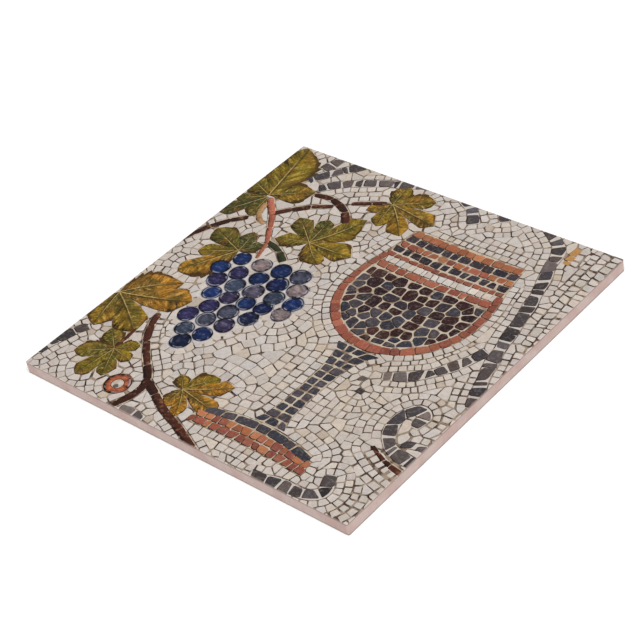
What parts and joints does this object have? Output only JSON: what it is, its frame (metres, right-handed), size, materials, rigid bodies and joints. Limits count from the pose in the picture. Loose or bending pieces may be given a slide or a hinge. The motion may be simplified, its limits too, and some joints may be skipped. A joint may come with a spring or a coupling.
{
  "type": "ceramic tile",
  "caption": "Square ceramic tile with a glazed mosaic picture of a vine, grapes and a goblet on its face, and shallow keying pockets on its back.",
  "frame": {"origin": "centre of the underside, in the plane that the tile lies on", "axes": "+Z out of the printed face, +X along the picture's lower edge to its right, +Y up the picture"},
  "size_m": [0.1524, 0.1524, 0.005],
  "materials": {
    "fired_clay": "matte, pinkish beige fired clay, as on the sides and back",
    "printed_glaze": "satin clear glaze over a printed mosaic in cream, brick, slate, blue and olive, on the face"
  },
  "bodies": {
    "root": {"ceramic_tile": "fired_clay"}
  },
  "joints": []
}
